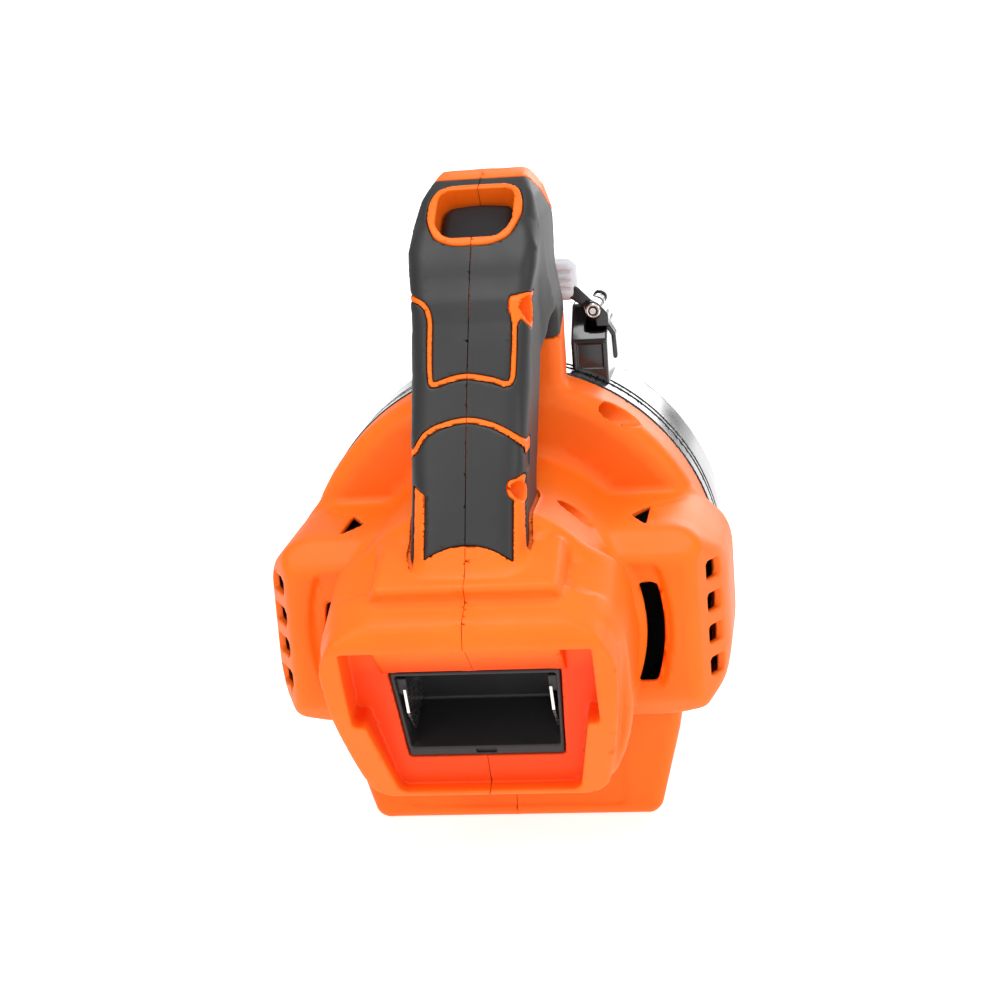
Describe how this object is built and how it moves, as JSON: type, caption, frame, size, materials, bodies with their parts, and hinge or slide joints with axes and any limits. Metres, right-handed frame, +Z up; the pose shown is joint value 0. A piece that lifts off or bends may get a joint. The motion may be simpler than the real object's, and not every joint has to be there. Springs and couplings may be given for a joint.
{
  "type": "leaf blower",
  "caption": "Cordless handheld leaf blower with a looped handle, thumb trigger, side intakes, fan drum, latched tube and flat nozzle, shown without its battery.",
  "frame": {"origin": "on the underside of the foot, on the seam plane, 45 mm ahead of the foot's rear face", "axes": "+X to the user's right, +Y forwards to the nozzle, +Z up"},
  "size_m": [0.159, 0.4708, 0.223],
  "materials": {
    "orange_shell": "moulded orange plastic with a fine satin texture",
    "soft_skin": "charcoal soft-touch overmould",
    "black_plastic": "moulded black plastic, satin",
    "gloss_black": "polished black plastic",
    "steel": "plated steel",
    "motor_steel": "drawn steel can",
    "terminal_metal": "plated brass",
    "iron": "laminated iron and ferrite",
    "rubber": "moulded rubber",
    "board": "printed circuit board",
    "aluminium": "extruded aluminium",
    "foam": "open-cell filter foam",
    "red_insulation": "red insulated lead",
    "black_insulation": "black insulated lead"
  },
  "bodies": {
    "root": {"housing_right": "orange_shell", "housing_left": "orange_shell", "grip_skin_right": "soft_skin", "grip_skin_left": "soft_skin", "terminal_block": "black_plastic", "terminal_positive": "terminal_metal", "terminal_negative": "terminal_metal", "trigger_pin": "steel", "trigger_springs": "steel", "trigger_switch": "black_plastic", "motor_can": "motor_steel", "motor_end_cap": "black_plastic", "rear_bearing": "steel", "front_bearing": "steel", "motor_magnets": "iron", "motor_brushes": "terminal_metal", "rear_bulkhead": "black_plastic", "front_bulkhead": "black_plastic", "motor_isolators": "rubber", "fan_housing": "gloss_black", "air_guide": "black_plastic", "blower_tube": "black_plastic", "tube_seal": "rubber", "nozzle": "black_plastic", "latch_hood": "gloss_black", "latch_pin": "steel", "latch_spring": "steel", "speed_board": "board", "heat_sink": "aluminium", "intake_filter_right": "foam", "intake_filter_left": "foam", "battery_lead_positive": "red_insulation", "battery_lead_negative": "black_insulation", "motor_lead_positive": "red_insulation", "motor_lead_negative": "black_insulation", "housing_screws": "steel"},
    "rotor": {"motor_shaft": "steel", "armature": "iron", "commutator": "terminal_metal", "impeller": "black_plastic", "impeller_nut": "steel"},
    "trigger": {"thumb_trigger": "black_plastic"},
    "latch": {"latch_lever": "gloss_black"}
  },
  "joints": [
    {"name": "fan_spin", "type": "hinge", "parent": "root", "child": "rotor", "pos_m": [0, -0.04, 0.08], "axis": [0, 1, 0], "continuous": true},
    {"name": "trigger_press", "type": "hinge", "parent": "root", "child": "trigger", "pos_m": [0, -0.01518, 0.21285], "axis": [1, 0, 0], "range_deg": [0, 9], "stiffness_Nm_per_rad": 0.6, "springref_deg": -5.73},
    {"name": "latch_release", "type": "hinge", "parent": "root", "child": "latch", "pos_m": [0.0324, 0.013, 0.1696], "axis": [0, -1, 0], "range_deg": [0, 8], "stiffness_Nm_per_rad": 0.5, "springref_deg": -5.73}
  ]
}
